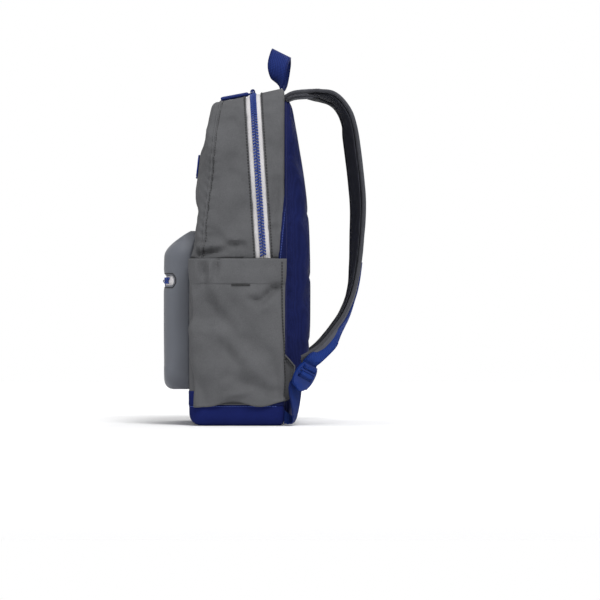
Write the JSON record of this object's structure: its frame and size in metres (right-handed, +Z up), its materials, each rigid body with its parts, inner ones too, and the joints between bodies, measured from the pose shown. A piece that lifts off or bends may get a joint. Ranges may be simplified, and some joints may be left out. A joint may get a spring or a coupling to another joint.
{
  "type": "backpack",
  "caption": "Daypack with a zipped main compartment, moulded front pocket, side pockets, padded back, grab loop and two adjustable shoulder straps.",
  "frame": {"origin": "middle of the underside of the base, under the bag's body", "axes": "+Z up, +Y towards the wearer, -Y towards the moulded front pocket, +X to the wearer's right"},
  "size_m": [0.3354, 0.2901, 0.5302],
  "materials": {
    "grey_fabric": "matte woven",
    "blue_base_fabric": "matte woven",
    "lining": "smooth lining",
    "board": "plain",
    "blue_mesh": "spacer mesh",
    "seam_tape": "bound seam",
    "moulded_grey": "satin moulded",
    "zip_tape": "woven tape",
    "zip_teeth": "moulded",
    "slider_metal": "painted",
    "blue_pull": "moulded over cord",
    "strap_mesh": "spacer mesh",
    "blue_webbing": "ribbed webbing",
    "blue_lock": "moulded",
    "label": "plain woven label"
  },
  "bodies": {
    "pack": {"base_panel": "blue_base_fabric", "base_board": "board", "front_panel": "grey_fabric", "rear_gusset": "grey_fabric", "back_lining": "lining", "back_pad": "blue_mesh", "back_seam_tape": "seam_tape", "back_board": "board", "laptop_sleeve": "lining", "zip_tape_rear": "zip_tape", "zip_teeth_rear": "zip_teeth", "zip_tape_front_ends": "zip_tape", "zip_teeth_front_ends": "zip_teeth", "pocket_shell": "moulded_grey", "pocket_zip_tape": "zip_tape", "pocket_zip_teeth": "zip_teeth", "side_panel_right": "grey_fabric", "side_panel_left": "grey_fabric", "side_pocket_right": "grey_fabric", "side_pocket_left": "grey_fabric", "side_pocket_hem_right": "grey_fabric", "side_pocket_hem_left": "grey_fabric", "strap_root_right": "grey_fabric", "strap_root_left": "grey_fabric", "wing_tab_right": "grey_fabric", "wing_tab_left": "grey_fabric", "web_anchor_right": "blue_webbing", "web_anchor_left": "blue_webbing", "haul_loop_foot_right": "blue_webbing", "haul_loop_foot_left": "blue_webbing"},
    "flap": {"flap_front_panel": "grey_fabric", "flap_gusset": "grey_fabric", "zip_tape_front": "zip_tape", "zip_teeth_front": "zip_teeth", "label_patch": "label"},
    "zip_slider_right": {"zip_slider_right": "slider_metal"},
    "zip_slider_left": {"zip_slider_left": "slider_metal"},
    "pull_right": {"pull_loop_right": "blue_pull", "pull_grip_right": "blue_pull"},
    "pull_left": {"pull_loop_left": "blue_pull", "pull_grip_left": "blue_pull"},
    "pocket_slider": {"pocket_slider": "slider_metal"},
    "pocket_pull": {"pocket_pull": "blue_pull"},
    "haul_loop": {"haul_loop": "blue_webbing"},
    "strap_right": {"strap_fold_right": "grey_fabric", "strap_pad_right": "grey_fabric", "strap_liner_right": "strap_mesh", "strap_webbing_right": "blue_webbing", "lower_webbing_right": "blue_webbing"},
    "ladder_lock_right": {"ladder_lock_right": "blue_lock", "webbing_tail_right": "blue_webbing"},
    "strap_left": {"strap_fold_left": "grey_fabric", "strap_pad_left": "grey_fabric", "strap_liner_left": "strap_mesh", "strap_webbing_left": "blue_webbing", "lower_webbing_left": "blue_webbing"},
    "ladder_lock_left": {"ladder_lock_left": "blue_lock", "webbing_tail_left": "blue_webbing"}
  },
  "joints": [
    {"name": "flap_open", "type": "hinge", "parent": "pack", "child": "flap", "pos_m": [0, -0.0718, 0.282], "axis": [1, 0, 0], "range_deg": [0, 65]},
    {"name": "pocket_slider_slide", "type": "slide", "parent": "pack", "child": "pocket_slider", "axis": [1, 0, 0], "range_m": [0, 0.176]},
    {"name": "pocket_pull_swing", "type": "hinge", "parent": "pocket_slider", "child": "pocket_pull", "pos_m": [-0.088, -0.1174, 0.201], "axis": [-1, 0, 0], "range_deg": [0, 120]},
    {"name": "haul_loop_fold", "type": "hinge", "parent": "pack", "child": "haul_loop", "pos_m": [0, 0.049, 0.4722], "axis": [-1, 0, 0], "range_deg": [-15, 55]},
    {"name": "zip_slider_right_slide", "type": "slide", "parent": "flap", "child": "zip_slider_right", "axis": [1, 0, 0], "range_m": [0, 0.046]},
    {"name": "pull_right_swing", "type": "hinge", "parent": "zip_slider_right", "child": "pull_right", "pos_m": [0.0095, 0.0098, 0.46836], "axis": [-1, 0, 0], "range_deg": [0, 90]},
    {"name": "strap_right_swing", "type": "hinge", "parent": "pack", "child": "strap_right", "pos_m": [0.058, 0.055, 0.452], "axis": [0.1808, 0.0243, -0.9832], "range_deg": [-30, 10], "deforming": ["strap_fold_right", "lower_webbing_right"]},
    {"name": "ladder_lock_right_tilt", "type": "hinge", "parent": "strap_right", "child": "ladder_lock_right", "pos_m": [0.154, 0.09, 0.081], "axis": [0.6821, -0.6407, 0.3525], "range_deg": [0, 25], "deforming": ["lower_webbing_right"]},
    {"name": "zip_slider_left_slide", "type": "slide", "parent": "flap", "child": "zip_slider_left", "axis": [-1, 0, 0], "range_m": [0, 0.046]},
    {"name": "pull_left_swing", "type": "hinge", "parent": "zip_slider_left", "child": "pull_left", "pos_m": [-0.0095, 0.0098, 0.46836], "axis": [-1, 0, 0], "range_deg": [0, 90]},
    {"name": "strap_left_swing", "type": "hinge", "parent": "pack", "child": "strap_left", "pos_m": [-0.058, 0.055, 0.452], "axis": [0.1808, -0.0243, 0.9832], "range_deg": [-30, 10], "deforming": ["strap_fold_left", "lower_webbing_left"]},
    {"name": "ladder_lock_left_tilt", "type": "hinge", "parent": "strap_left", "child": "ladder_lock_left", "pos_m": [-0.154, 0.09, 0.081], "axis": [0.6821, 0.6407, -0.3525], "range_deg": [0, 25], "deforming": ["lower_webbing_left"]}
  ]
}
